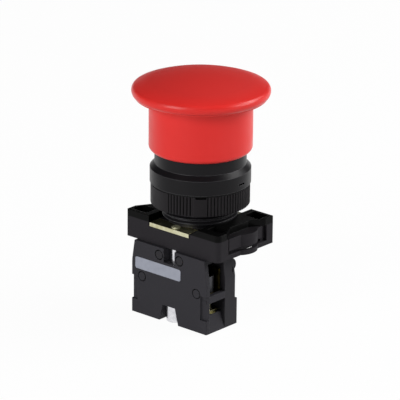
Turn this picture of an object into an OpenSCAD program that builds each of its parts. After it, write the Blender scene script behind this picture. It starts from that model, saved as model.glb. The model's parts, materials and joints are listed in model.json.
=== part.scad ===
// Mushroom-head stop button for a 22 mm panel hole, with one normally closed contact block.
// The origin is on the push axis at the panel seat, +Z points at the hand and -Y is the block's front.

/* [Panel fit] */
// Diameter of the round hole in the panel
panel_hole_d = 22.3; // [21.9:0.1:22.6]
// Play of the shank in the panel hole, across the diameter
shank_play = 0.3; // [0.1:0.1:0.6]
// Length of the shank from the panel seat to the mounting base
shank_len = 10; // [8:0.1:14]

/* [Mushroom head] */
// Travel of the head from rest to its stop
travel = 3.5; // [2.5:0.1:4.5]
// Room left under the skirt when the head is pressed
press_spare = 0.15; // [0.1:0.05:0.5]
// Diameter of the mushroom
cap_d = 40; // [36:0.5:60]
// Radius of the domed top
dome_r = 55; // [45:1:100]
// Thickness of the domed top
dome_wall = 2.2; // [1.5:0.1:2.6]
// Rounding of the rim's upper edge
rim_top_r = 1.5; // [0.4:0.1:2]
// Rounding of the rim's lower edge
rim_low_r = 1.9; // [1:0.1:2.3]
// Straight part of the rim's side
rim_side = 0.1; // [0.05:0.05:2]
// Outer diameter of the skirt
skirt_d = 30; // [29.4:0.1:32]
// Length of the skirt below the rim
skirt_len = 15.8; // [15:0.1:20]
// Rounding of the skirt's lower edge
skirt_edge_r = 1.4; // [0.4:0.1:1.4]
// Radial clearance between the skirt and the neck
skirt_clear = 0.25; // [0.15:0.05:0.3]
// Diameter of the boss under the dome
boss_d = 15.6; // [15:0.1:17]
// Number of ribs between the boss and the skirt
rib_count = 6; // [3:1:12]
// Thickness of a rib under the dome
rib_t = 1.2; // [0.8:0.1:2]
// Room between the ribs and the neck when the head is pressed
rib_spare = 0.8; // [0.3:0.1:1.5]

/* [Stem and return spring] */
// Diameter of the stem
stem_d = 8; // [7:0.1:8.4]
// Running clearance of the stem in its guide, on the radius
stem_clear = 0.05; // [0.03:0.01:0.1]
// Diameter of the spigot that goes into the boss
spigot_d = 6.9; // [5:0.1:7]
// Length of the spigot
spigot_len = 7; // [5:0.5:9]
// Distance of the foot's edge from the base's front
foot_in = 4.9; // [4.8:0.1:5.3]
// Thickness of the foot
foot_t = 2; // [1.5:0.1:2.4]
// Chamfer round the foot
foot_chamfer = 0.5; // [0.2:0.1:0.8]
// Length of the return spring at rest
spring_len = 15; // [14:0.5:17]
// Mean diameter of the return spring
spring_d = 14; // [13.6:0.1:14.4]
// Wire diameter of the return spring
spring_wire = 1.1; // [0.8:0.1:1.2]
// Number of coils of the return spring
spring_coils = 6.5; // [4:0.5:8]
// Thickness of the seal ring round the stem
seal_t = 1.16; // [0.8:0.02:1.16]

/* [Operator body] */
// Diameter of the bezel
bezel_d = 29.3; // [28:0.1:32]
// Height of the bezel's straight side
bezel_h = 4.35; // [3.5:0.05:6]
// Bevel of the bezel's shoulder
shoulder = 1.5; // [1.2:0.05:2]
// Diameter of the neck inside the skirt
neck_d = 26.6; // [26:0.1:27]
// Height of the neck above the shoulder
neck_h = 8.65; // [7:0.05:10]
// Wall of the neck
neck_wall = 2; // [1.2:0.1:2.6]
// Height of the spring's floor above the panel seat
cup_floor = 2; // [1.8:0.1:3]
// Thickness of the web under that floor
web_t = 3; // [2:0.1:4]
// Outer diameter of the stem's guide tube
guide_d = 11.6; // [11:0.1:12]
// Height of the guide tube above the spring's floor
guide_h = 7; // [5:0.5:8]
// Wall of the shank
shank_wall = 2.2; // [1.5:0.1:2.4]
// Step from the shank down to the spigot in the base
spigot_step = 1.5; // [1.2:0.1:1.6]
// Gap left between pieces that only just touch
touch_gap = 0.05; // [0.02:0.01:0.1]
// Reach of the bayonet lugs past the spigot
lug_out = 1.1; // [0.6:0.1:1.3]
// Height of the bayonet lugs
lug_h = 0.8; // [0.5:0.1:1]
// Angle that one bayonet lug spans
lug_angle = 40; // [20:5:60]
// Width of the pry slot in the bezel
pry_w = 2.7; // [1.5:0.1:4]
// Height of the pry slot
pry_h = 0.6; // [0.4:0.1:1.2]
// Depth of the pry slot
pry_depth = 0.8; // [0.2:0.1:1]
// Height of the pry slot's lower edge above the panel seat
pry_z = 1.4; // [1.2:0.1:2]
// Direction of the pry slot, from +X
pry_angle = 5; // [-30:1:30]
// Width of the panel gasket
gasket_w = 2.2; // [1.5:0.1:2.6]
// Thickness of the panel gasket
gasket_t = 1.15; // [0.8:0.05:1.3]

/* [Clamp nut] */
// Diameter of the clamp nut over its ribs
nut_d = 28.8; // [28:0.1:32]
// Height of the clamp nut
nut_h = 5.8; // [4:0.1:6]
// Running clearance of the nut on the shank, on the radius
nut_clear = 0.05; // [0.03:0.01:0.1]
// Ribs that would fill a whole turn
nut_ribs = 90; // [60:2:100]
// Depth of the ribs
nut_rib_depth = 0.35; // [0.2:0.05:0.5]
// Direction of the plain thumb tab, from +X
tab_angle = -48; // [-180:1:180]
// Angle that the thumb tab spans
tab_span = 17; // [8:1:30]
// Angle between the thumb tab and the start of the plain sector
plain_gap = 38; // [20:1:60]
// Angle that the plain sector spans
plain_span = 92; // [20:1:120]
// Width of the notch over the thumb tab
tab_notch_w = 3.2; // [1:0.1:4]
// Height of that notch
tab_notch_h = 0.6; // [0.3:0.1:1]
// Depth of that notch
tab_notch_depth = 0.8; // [0.3:0.1:1.2]
// Chamfer at both ends of the nut's thread
nut_chamfer = 0.5; // [0.2:0.1:0.8]
// Thickness of the slip washer over the nut
washer_t = 0.5; // [0.3:0.05:0.8]
// Diameter of the slip washer
washer_d = 28.4; // [27:0.1:28.8]

/* [Mounting base] */
// Width of the base along X
base_w = 35.2; // [34:0.1:40]
// Depth of the base along Y
base_d = 24.2; // [22:0.1:26.4]
// Height of the base below its decks
base_h = 6.2; // [6:0.1:8]
// Rounding of the base's two free upright edges
base_edge_r = 1.5; // [0.5:0.1:2]
// Rounding of the two upright edges beside the trays
base_tray_r = 0.4; // [0.2:0.1:0.5]
// Height of the raised decks
deck_h = 2; // [1.8:0.1:3]
// Distance of the decks' sloped inner ends from the push axis
deck_in_x = 7.2; // [7:0.1:8]
// Run of the slope at those ends
deck_slope = 2.4; // [1:0.1:2.5]
// Length of each deck's full-width ears
ear_len = 3.6; // [2.5:0.1:4.5]
// How far a deck's waist is drawn in
waist_in = 2.6; // [0.5:0.1:3]
// Length of the straight part of the waist
waist_len = 8; // [4:0.5:10]
// Room under the foot when the head is pressed
floor_spare = 0.5; // [0.3:0.1:1]
// Room round the foot
foot_room = 0.6; // [0.3:0.1:0.7]
// Length of the deck pocket along X
pocket_l = 5; // [3:0.5:5]
// Width of the deck pocket along Y
pocket_w = 3.6; // [2:0.2:4]
// Depth of the deck pocket
pocket_depth = 1.5; // [0.5:0.1:1.7]
// Distance of the deck pocket from the base's end
pocket_inset = 4.4; // [4:0.1:4.8]
// Rim left round the tray in the deck's other ear
tray_rim = 1.2; // [0.8:0.1:1.6]
// Length of that tray along X
tray_l = 5.4; // [4.6:0.1:5.8]
// Width of that tray along Y
tray_w = 4.2; // [3.8:0.1:4.4]
// Diameter of the round seat in the tray
tray_seat_d = 3.7; // [3:0.1:3.7]
// Height of the round seat
tray_seat_h = 0.5; // [0.2:0.1:1]
// Diameter of the hole in the round seat
tray_hole_d = 1.4; // [1:0.1:2]
// Chord of the round bulge on the side wall
bulge_chord = 7.5; // [5:0.1:8]
// How far the bulge stands out
bulge_out = 1.4; // [0.8:0.1:2]
// Offset of the bulge and its arm along Y
bulge_y = 1.45; // [0:0.05:2]
// Width of the spring arm under the bulge
arm_w = 1.2; // [0.8:0.1:1.6]
// Thickness of the spring arm
arm_t = 1.4; // [0.8:0.1:1.6]
// Height of the slot over the spring arm
arm_slot = 1.2; // [0.8:0.1:1.6]
// Room behind the spring arm
arm_room = 1.2; // [1:0.1:2.6]
// Half length of the spring arm's opening
arm_half = 7.4; // [6:0.1:8]
// Width of the deep groove beside the rear column
groove_w = 1.7; // [1:0.1:2]
// Depth of that groove
groove_depth = 1; // [0.4:0.1:1.2]
// Width of the fine line in the side wall
line_w = 0.35; // [0.2:0.05:0.6]
// Depth of the fine line and the shallow recess
line_depth = 0.4; // [0.2:0.05:0.6]

/* [Nut plates and fixing screw] */
// Width of a nut plate
plate_w = 15; // [13:0.1:15.4]
// How far a nut plate sits to the left of the push axis
plate_shift = 1.25; // [0.5:0.05:1.5]
// Depth of a nut plate
plate_d = 4.5; // [4.2:0.1:4.6]
// Thickness of a nut plate
plate_t = 1.2; // [1:0.1:1.5]
// Clearance behind a nut plate
plate_clear = 0.1; // [0.05:0.05:0.2]
// Gap at both ends of a nut plate
plate_gap = 0.35; // [0.1:0.05:0.5]
// Distance of the fixing screws from the base's front
fix_edge = 1.8; // [1.8:0.1:2.2]
// Thread diameter of the fixing screws
fix_d = 3; // [2.5:0.1:3]
// Radial clearance of the fixing screw in a thread
thread_clear = 0.05; // [0.02:0.01:0.1]
// Radial clearance of the fixing screw in plastic
fix_room = 0.25; // [0.15:0.05:0.4]
// Diameter of the fixing screw's head
fix_head_d = 5.4; // [4.6:0.1:5.6]
// Height of the fixing screw's head
fix_head_h = 4.9; // [2:0.1:5]
// How far the fixing screw's tip stands over its plate
fix_tip = 0.4; // [0.1:0.1:1]
// Width of the screwdriver slots
slot_w = 0.8; // [0.5:0.1:1]
// Depth of the screwdriver slots
slot_depth = 1; // [0.5:0.1:1.2]
// Chamfer at the screws' tips
tip_chamfer = 0.3; // [0.1:0.1:0.5]

/* [Contact block] */
// Distance of the terminal screws from the block's sides
term_side = 4.5; // [4.2:0.1:6]
// Height of the block
block_h = 22.3; // [22:0.1:26]
// How far the block's front stands past the base
block_proud = 1.3; // [1.1:0.1:2.4]
// Distance of the joint between its two halves from the contact plunger, towards the front
split_out = 0.4; // [0.2:0.1:0.8]
// Distance of the block's back from the contact plunger
block_behind = 4; // [3.6:0.1:4.4]
// Step at the foot of the block's back
back_step = 0.9; // [0.3:0.1:1.2]
// Height of that step
back_step_h = 7.9; // [4:0.1:9]
// How far the block's sides draw in at the top
block_taper = 1.1; // [0.5:0.1:1.3]
// Height of the drawn-in part
taper_h = 7.3; // [4:0.1:9]
// Rounding of the block's front upright edges
block_edge_r = 0.3; // [0.2:0.1:1.2]
// Wall at the front of the block
front_wall = 1.4; // [1.2:0.1:1.6]
// Wall at the top of the block
top_wall = 1.2; // [1:0.1:1.6]
// Wall at the sides of the block
side_wall = 1.5; // [1.2:0.1:1.6]
// Wall between the contacts and a terminal
part_wall = 0.6; // [0.5:0.1:0.8]
// Height of the upper side window
window_h = 9.7; // [8:0.1:10]
// Height of the bar between the side windows
bar_h = 2.1; // [1.6:0.1:2.4]
// Height of the wire entry
entry_h = 4.2; // [3:0.1:4.4]
// Drop of the ramp below the wire entry
ramp_h = 4.8; // [3:0.1:5]
// Floor under the contact spring
block_floor = 1.3; // [1:0.1:1.6]
// Width of the front slot over the fixing screw
screw_slot_w = 4.2; // [3.6:0.1:4.4]
// Height of that slot
screw_slot_h = 4.2; // [3:0.1:4.4]
// Width of the notch in front of the fixing screw's head, at its top
head_notch_w = 4.7; // [4:0.1:5.4]
// Width of that notch at the block's foot
head_notch_low_w = 7.3; // [5:0.1:8]
// Height of the fixing screw's counterbore
head_notch_h = 5.1; // [5:0.1:6]
// Room round the fixing screw's head
head_room = 0.15; // [0.1:0.05:0.25]
// Width of the finger grooves in the front edges
scoop_w = 2.4; // [1.5:0.1:3]
// Depth of the finger grooves
scoop_depth = 0.9; // [0.4:0.1:1]
// Length of the finger grooves
scoop_h = 7.4; // [4:0.1:8]
// Height of the finger grooves above the block's foot
scoop_z = 4.1; // [3:0.1:6]
// Spacing of the pegs that join the halves
peg_spacing = 7.8; // [7.6:0.1:9]
// Diameter of the pegs
peg_d = 2; // [1.5:0.1:2]
// Diameter of the pegs' staked heads
peg_head_d = 2.5; // [2.4:0.1:3]
// Width of the ring left open round the heads, and of the lower ring marks
ring_gap = 0.3; // [0.2:0.05:0.4]
// Length of the staked heads
peg_head_h = 2; // [1:0.1:3]
// Clearance round the pegs
peg_clear = 0.1; // [0.05:0.05:0.15]
// Distance of the pegs below the block's top
peg_drop = 2.3; // [2.2:0.1:2.6]
// Depth of the lower ring marks
mark_depth = 0.7; // [0.3:0.1:0.8]
// Spacing of the two lower ring marks
mark_spacing = 21; // [18:0.5:22]
// Distance of the lower ring marks below the block's top
mark_drop = 10.6; // [10.4:0.1:12]
// Width of the bare marking label
label_w = 17.5; // [12:0.5:18]
// Height of the marking label
label_h = 3.6; // [2.5:0.1:3.8]
// Rounding of the marking label's corners
label_r = 0.7; // [0.2:0.1:1]
// Thickness of the marking label
label_t = 0.15; // [0.1:0.05:0.3]
// Distance of the label's left end from the block's side
label_inset = 1.4; // [1:0.1:2.5]
// Distance of the label below the block's top
label_drop = 4.9; // [4.7:0.1:6]
// Diameter of the two pins that locate the block on the base
locate_d = 2.4; // [1.6:0.1:2.8]
// Height of the locating pins
locate_h = 1.5; // [0.8:0.1:1.8]
// Spacing of the locating pins
locate_spacing = 18; // [15:0.5:20]
// Distance of the locating pins behind the fixing screw
locate_in = 1.9; // [1.3:0.1:2.9]
// Radius of the catch lugs on the block's back
catch_r = 1.7; // [1:0.1:2]
// How far the catch lugs stand out of the back
catch_out = 0.9; // [0.4:0.1:1]
// Width of the catch lugs
catch_w = 1.9; // [1:0.1:3]
// Distance of the catch lugs below the block's top
catch_drop = 3.8; // [3:0.1:5]
// Depth of the relief cut in the cover's side
relief_depth = 0.5; // [0.2:0.1:0.8]
// Width of the relief cut at its top
relief_w = 1.2; // [0.6:0.1:1.6]
// Height of the relief cut
relief_h = 5; // [3:0.1:6]
// Distance of the relief cut from the block's back
relief_in = 0.7; // [0.5:0.1:1]

/* [Contacts] */
// Distance of the contact plunger behind the fixing screw
plunger_in = 5.3; // [5.1:0.1:5.5]
// Width of the contact plunger along X
plunger_w = 4.8; // [4.6:0.1:5]
// Depth of the contact plunger along Y
plunger_d = 3.6; // [3.4:0.1:3.8]
// Width of its push pin along X
pin_w = 3.6; // [2.5:0.1:3.8]
// Depth of its push pin along Y
pin_d = 3; // [2:0.1:3.1]
// Clearance of the contact plunger in its channel
plunger_clear = 0.2; // [0.1:0.05:0.25]
// Length of the bridge contact
bridge_l = 12.4; // [12:0.1:12.8]
// Depth of the bridge contact along Y
bridge_d = 2.4; // [2:0.1:2.5]
// Thickness of the bridge contact
bridge_t = 0.8; // [0.5:0.1:1]
// Clearance of the bridge contact in the plunger and the block
bridge_clear = 0.1; // [0.05:0.05:0.2]
// Diameter of a contact tip
tip_d = 2; // [1.4:0.1:2.2]
// Thickness of a contact tip
tip_t = 0.6; // [0.3:0.1:0.8]
// Spacing of the contact tips
tip_spacing = 10; // [9.4:0.1:10.2]
// Thickness of the fixed contact strips
strip_t = 1; // [0.6:0.1:1.2]
// Distance of the strips below the upper window
strip_drop = 0.4; // [0.2:0.1:0.6]
// Depth of a strip's contact finger along Y
finger_d = 2.8; // [2.2:0.1:3]
// Spacing of the inner ends of the strips
finger_spacing = 7.2; // [6.6:0.1:8]
// Clearance round the strips and clamp plates
strip_clear = 0.2; // [0.1:0.05:0.3]
// Height of the ledge that carries a strip
ledge_h = 0.8; // [0.5:0.1:1]
// Depth of the ledge that carries a strip
ledge_d = 1.1; // [0.9:0.1:1.4]
// Spacing of the terminal screws
term_spacing = 20; // [19.8:0.1:20.4]
// Distance of the terminal screws from the joint between the halves
term_out = 3; // [2.9:0.1:3.3]
// Thread diameter of the terminal screws
term_d = 3; // [2.5:0.1:3.2]
// Diameter of the threaded bush on a strip
bush_d = 4.2; // [3.6:0.1:4.2]
// Height of the threaded bush
bush_h = 5.1; // [3:0.1:6]
// How far a terminal screw ends below the top of its bush
bush_spare = 0.3; // [0.1:0.1:1]
// Width of the tongue that holds a strip against the cover
tongue_w = 3.2; // [2:0.1:4]
// Height of the tongue
tongue_h = 7; // [5:0.1:9]
// Thickness of the tongue
tongue_t = 0.6; // [0.4:0.1:0.7]
// Diameter of a terminal screw's head
term_head_d = 5.5; // [4.5:0.1:5.5]
// Height of a terminal screw's head
term_head_h = 2.2; // [1.5:0.1:3]
// Room round a terminal screw's head
term_room = 0.2; // [0.1:0.05:0.2]
// Thickness of a clamp plate
clamp_t = 0.7; // [0.6:0.1:1.4]
// Distance of a clamp plate from the wall beside the wire entry
clamp_in = 0.9; // [0.3:0.1:1]
// Mean diameter of the contact spring
cspring_d = 2.3; // [1.8:0.1:2.4]
// Wire diameter of the contact spring
cspring_wire = 0.35; // [0.25:0.05:0.4]
// Number of coils of the contact spring
cspring_coils = 4.5; // [3:0.5:5]
// Height of the plunger's foot below the bridge contact
plunger_foot = 2.1; // [1.4:0.1:2.4]
// Depth of the spring's pocket in the plunger
spring_pocket = 1.6; // [1:0.1:1.7]

/* [Hidden] */
$fn = 72;
dome_fn = 200;
// Overrun of cuts, so that no skin is left
over = 0.5;

// Places along X and Y
base_x = base_w / 2;
base_y = base_d / 2;
fix_y = base_y - fix_edge;
plunger_y = fix_y - plunger_in;
locate_y = fix_y - locate_in;
block_front = base_y + block_proud;
block_split = plunger_y + split_out;
block_back = plunger_y - block_behind;
term_y = block_split + term_out;

// Radii of the turned pieces
shank_r = (panel_hole_d - shank_play) / 2;
shank_in_r = shank_r - shank_wall;
seat_spigot_r = shank_r - spigot_step;
lug_r = seat_spigot_r + lug_out;
neck_r = neck_d / 2;
cup_r = neck_r - neck_wall;
guide_r = guide_d / 2;
stem_r = stem_d / 2;
guide_bore_r = stem_r + stem_clear;
seal_seat_r = guide_bore_r + seal_t + 2 * touch_gap;
bezel_r = bezel_d / 2;
gasket_in_r = shank_r + 2 * touch_gap;
gasket_out_r = gasket_in_r + gasket_w;
cap_r = cap_d / 2;
skirt_r = skirt_d / 2;
skirt_in_r = neck_r + skirt_clear;
boss_r = boss_d / 2;
foot_r = base_y - foot_in;
nut_r = nut_d / 2;
thread_r = shank_r + nut_clear;

// Heights of the head, from the panel seat upwards
neck_base_z = bezel_h + shoulder;
neck_top_z = neck_base_z + neck_h;
guide_top_z = cup_floor + guide_h;
skirt_low_z = neck_base_z + travel + press_spare;
rim_under_z = skirt_low_z + skirt_len;
rim_low_z = rim_under_z + rim_low_r;
rim_top_z = rim_low_z + rim_side;
dome_mid_z = rim_top_z - sqrt(pow(dome_r - rim_top_r, 2) - pow(cap_r - rim_top_r, 2));
apex_z = dome_mid_z + dome_r;
cap_h = apex_z - rim_under_z;
dome_edge = (cap_r - rim_top_r) * dome_r / (dome_r - rim_top_r);
dome_in_r = dome_r - dome_wall;
boss_z = cup_floor + spring_len;
rib_low_z = neck_top_z + travel + rib_spare;

// Heights of the base and the block, from the panel seat downwards
deck_z = -shank_len;
foot_z = deck_z - foot_t;
base_top_z = deck_z - deck_h;
base_low_z = base_top_z - base_h;
base_floor_z = foot_z - travel - floor_spare;
spigot_low_z = base_top_z + fix_tip + touch_gap;
block_top_z = base_low_z;
block_low_z = block_top_z - block_h;
chamber_top_z = block_top_z - top_wall;
window_low_z = chamber_top_z - window_h;
entry_top_z = window_low_z - bar_h;
entry_low_z = entry_top_z - entry_h;
chamber_low_z = entry_low_z - strip_clear;
strip_top_z = window_low_z - strip_drop;
strip_low_z = strip_top_z - strip_t;
tip_z = strip_low_z - tip_t;
bridge_top_z = tip_z - tip_t;
bridge_low_z = bridge_top_z - bridge_t;
plunger_top_z = chamber_top_z - touch_gap;
plunger_low_z = bridge_low_z - plunger_foot;
pocket_top_z = plunger_low_z + spring_pocket;
block_floor_z = block_low_z + block_floor;
head_notch_z = block_low_z + head_notch_h;

// Edges of the plates, chambers and bulge
plate_in_y = base_y - plate_d;
plate_x = [-plate_w / 2 - plate_shift, plate_w / 2 - plate_shift];
fix_r = fix_d / 2;
fix_bore_r = fix_r + fix_room;
term_x = term_spacing / 2;
block_x = term_x + term_side;
block_w = 2 * block_x;
chamber_x = [bridge_l / 2 + bridge_clear + part_wall, block_x - side_wall];
chamber_y = [front_wall - block_front, -block_split];
term_bore_r = term_head_d / 2 + term_room;
bulge_r = (pow(bulge_chord / 2, 2) + pow(bulge_out, 2)) / (2 * bulge_out);
bulge_x = base_x + bulge_out - bulge_r;

// A block from its low and high places along each axis
module span(x, y, z) {
    translate([x[0], y[0], z[0]])
        cube([x[1] - x[0], y[1] - y[0], z[1] - z[0]]);
}

// A plan outline with round corners
module round_plan(w, d, r) {
    square([w - 2 * r, d], center = true);
    square([w, d - 2 * r], center = true);
    for (x = [-1, 1])
        for (y = [-1, 1])
            translate([x * (w / 2 - r), y * (d / 2 - r)]) circle(r = r);
}

module both_sides() {
    children();
    mirror([1, 0, 0]) children();
}

module both_bays() {
    children();
    rotate(180) children();
}

// A flat ring
module ring(r_in, r_out, z) {
    translate([0, 0, z[0]])
        difference() {
            cylinder(r = r_out, h = z[1] - z[0]);
            translate([0, 0, -over]) cylinder(r = r_in, h = z[1] - z[0] + 2 * over);
        }
}

// A coil spring standing between two heights, as one tube
coil_rings = 8;
coil_sides = 6;

function coil_spot(i, r, z, coils) =
    let (a = 360 * i / coil_rings, t = i / (coils * coil_rings))
    [r * cos(a), r * sin(a), z[0] + (z[1] - z[0]) * t];

function coil_ring(i, r, z, coils, wire) =
    let (
        a = 360 * i / coil_rings,
        lean = atan2((z[1] - z[0]) / coils, 2 * PI * r),
        out = [cos(a), sin(a), 0],
        up = [sin(a) * sin(lean), -cos(a) * sin(lean), cos(lean)],
        mid = coil_spot(i, r, z, coils)
    )
    [for (k = [0:coil_sides - 1])
        let (b = 360 * k / coil_sides)
        mid + wire / 2 * (cos(b) * out + sin(b) * up)];

function coil_skin(n) = [
    for (i = [0:n - 1])
        for (k = [0:coil_sides - 1])
            let (
                p = i * coil_sides + k,
                q = i * coil_sides + (k + 1) % coil_sides
            )
            each [[p, p + coil_sides, q], [q, p + coil_sides, q + coil_sides]]
];

// The least gap between neighbouring coils, measured on the tube's centre points
function coil_gap(r, z, coils, wire) = min([
    for (i = [0:floor(coils * coil_rings) - coil_rings])
        for (j = [coil_rings - 1:coil_rings + 1])
            if (i + j <= coils * coil_rings)
                norm(coil_spot(i + j, r, z, coils) - coil_spot(i, r, z, coils)) - wire
]);

module coil(d, wire, coils, z) {
    r = d / 2;
    n = floor(coils * coil_rings);
    mid_z = [z[0] + wire / 2 + touch_gap, z[1] - wire / 2 - touch_gap];
    echo(least_gap = coil_gap(r, mid_z, coils, wire));
    rings = [for (i = [0:n]) coil_ring(i, r, mid_z, coils, wire)];
    points = [for (loop = rings) each loop];
    last = n * coil_sides;
    caps = [
        for (k = [1:coil_sides - 2])
            each [[0, k, k + 1], [last, last + k + 1, last + k]]
    ];
    polyhedron(points = points, faces = concat(coil_skin(n), caps));
}

// Outline of the mushroom and its skirt, turned about the push axis
module cap_profile() {
    intersection() {
        translate([0, dome_mid_z]) circle(r = dome_r, $fn = dome_fn);
        translate([0, rim_under_z]) square([dome_edge, cap_h + over]);
    }
    translate([cap_r - rim_top_r, rim_top_z]) circle(r = rim_top_r);
    translate([0, rim_low_z]) square([cap_r, rim_side]);
    translate([0, rim_under_z]) square([cap_r - rim_low_r, rim_low_r]);
    intersection() {
        translate([cap_r - rim_low_r, rim_low_z]) circle(r = rim_low_r);
        translate([0, rim_under_z]) square([cap_r, rim_low_r]);
    }
    translate([0, skirt_low_z + skirt_edge_r]) square([skirt_r, skirt_len]);
    translate([0, skirt_low_z]) square([skirt_r - skirt_edge_r, skirt_len]);
    translate([skirt_r - skirt_edge_r, skirt_low_z + skirt_edge_r]) circle(r = skirt_edge_r);
}

module cap_hollow() {
    intersection() {
        translate([0, dome_mid_z]) circle(r = dome_in_r, $fn = dome_fn);
        translate([0, skirt_low_z - over]) square([skirt_in_r, skirt_len + cap_h + over]);
    }
}

module mushroom_cap() {
    rib_top_z = apex_z - dome_wall;
    color("#c8281f")
        difference() {
            union() {
                rotate_extrude($fn = dome_fn)
                    difference() {
                        cap_profile();
                        cap_hollow();
                    }
                translate([0, 0, boss_z]) cylinder(r = boss_r, h = rib_top_z + touch_gap - boss_z);
                for (i = [0:rib_count - 1])
                    rotate(360 * i / rib_count)
                        span([boss_r - over, skirt_in_r + over], [-rib_t / 2, rib_t / 2],
                            [rib_low_z, rib_top_z]);
            }
            translate([0, 0, boss_z - over])
                cylinder(d = spigot_d + 2 * stem_clear, h = spigot_len + touch_gap + over);
        }
}

module plunger_stem() {
    color("#d8d6cc")
        rotate_extrude()
            polygon([
                [0, foot_z],
                [foot_r - foot_chamfer, foot_z],
                [foot_r, foot_z + foot_chamfer],
                [foot_r, deck_z],
                [stem_r, deck_z],
                [stem_r, boss_z],
                [spigot_d / 2, boss_z],
                [spigot_d / 2, boss_z + spigot_len],
                [0, boss_z + spigot_len]
            ]);
}

module stem_seal() {
    color("#26262a")
        translate([0, 0, guide_top_z - seal_t / 2])
            rotate_extrude()
                translate([guide_bore_r + seal_t / 2 + touch_gap, 0]) circle(d = seal_t);
}

module return_spring() {
    color("silver") coil(spring_d, spring_wire, spring_coils, [cup_floor, boss_z]);
}

// Half section of the operator body, without its lugs
module operator_section() {
    difference() {
        union() {
            square([neck_r, neck_base_z + neck_h]);
            polygon([
                [0, 0],
                [bezel_r, 0],
                [bezel_r, bezel_h],
                [bezel_r - shoulder, neck_base_z],
                [0, neck_base_z]
            ]);
            translate([0, deck_z]) square([shank_r, shank_len]);
            translate([0, spigot_low_z]) square([seat_spigot_r, deck_z - spigot_low_z + over]);
        }
        translate([guide_r, cup_floor]) square([cup_r - guide_r, neck_top_z]);
        translate([0, guide_top_z]) square([cup_r, neck_top_z]);
        translate([0, guide_top_z - seal_t - touch_gap]) square([seal_seat_r, seal_t + over]);
        translate([0, spigot_low_z - over]) square([guide_bore_r, shank_len + guide_top_z + deck_h]);
        translate([guide_r, spigot_low_z - over])
            square([shank_in_r - guide_r, cup_floor - web_t - spigot_low_z + over]);
        translate([0, spigot_low_z - over])
            square([shank_in_r, deck_z + touch_gap - spigot_low_z + over]);
        translate([gasket_in_r - touch_gap, -over])
            square([gasket_w + 2 * touch_gap, gasket_t + touch_gap + over]);
    }
}

module operator_body() {
    color("#1d1d20")
        difference() {
            union() {
                rotate_extrude() operator_section();
                for (a = [0, 180])
                    rotate(a - lug_angle / 2)
                        rotate_extrude(angle = lug_angle)
                            translate([shank_in_r, spigot_low_z]) square([lug_r - shank_in_r, lug_h]);
            }
            rotate(pry_angle)
                span([bezel_r - pry_depth, bezel_r + over], [-pry_w / 2, pry_w / 2], [pry_z, pry_z + pry_h]);
        }
}

module panel_gasket() {
    color("#303033") ring(gasket_in_r, gasket_out_r, [0, gasket_t]);
}

washer_z = [-touch_gap - washer_t, -touch_gap];
nut_z = [washer_z[0] - nut_h, washer_z[0]];

module nut_washer() {
    color("#8c8a86") ring(thread_r, washer_d / 2, washer_z);
}

// One rib as parts of its pitch and of its depth below the nut's outside
nut_rib_form = [[0, 1], [0.25, 0.2], [0.5, 0], [0.75, 0.2]];
nut_pitch = 360 / nut_ribs;
plain_angle = tab_angle - plain_gap - plain_span / 2;

function turn_between(a, b) = abs((a - b) - 360 * round((a - b) / 360));
function is_plain(a) =
    turn_between(a, tab_angle) < tab_span / 2 || turn_between(a, plain_angle) < plain_span / 2;
function nut_outline() = [
    for (i = [0:nut_ribs - 1])
        let (plain = is_plain((i + 0.5) * nut_pitch))
        for (form = nut_rib_form)
            let (
                a = (i + form[0]) * nut_pitch,
                r = nut_r - (plain ? 0 : form[1] * nut_rib_depth)
            )
            [r * cos(a), r * sin(a)]
];

module clamp_nut() {
    color("#232122")
        difference() {
            translate([0, 0, nut_z[0]]) linear_extrude(nut_h) polygon(nut_outline());
            translate([0, 0, nut_z[0] - over]) cylinder(r = thread_r, h = nut_h + 2 * over);
            translate([0, 0, nut_z[0]])
                cylinder(r1 = thread_r + nut_chamfer, r2 = thread_r, h = nut_chamfer);
            translate([0, 0, nut_z[1] - nut_chamfer])
                cylinder(r1 = thread_r, r2 = thread_r + nut_chamfer, h = nut_chamfer);
            rotate(tab_angle)
                span([nut_r - tab_notch_depth, nut_r + over], [-tab_notch_w / 2, tab_notch_w / 2],
                    [nut_z[1] - tab_notch_h, nut_z[1] + over]);
        }
}

// Plan of the base, with two of its corners nearly sharp
module base_plan() {
    sharp = base_edge_r - base_tray_r;
    square([base_w - 2 * base_edge_r, base_d], center = true);
    square([base_w, base_d - 2 * base_edge_r], center = true);
    both_bays() {
        translate([base_x - base_edge_r, base_edge_r - base_y]) circle(r = base_edge_r);
        translate([base_x - base_edge_r, base_y - base_edge_r]) {
            translate([-over, -over]) square([sharp + over, base_edge_r + over]);
            translate([-over, -over]) square([base_edge_r + over, sharp + over]);
            translate([sharp, sharp]) circle(r = base_tray_r);
        }
    }
}

// Plan of one raised deck, with ears at both ends and a drawn-in waist
module deck_plan() {
    ear_y = base_y - ear_len;
    waist_y = waist_len / 2;
    intersection() {
        base_plan();
        polygon([
            [deck_in_x, -base_y],
            [base_x, -base_y],
            [base_x, -ear_y],
            [base_x - waist_in, -waist_y],
            [base_x - waist_in, waist_y],
            [base_x, ear_y],
            [base_x, base_y],
            [deck_in_x, base_y]
        ]);
    }
}

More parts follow.
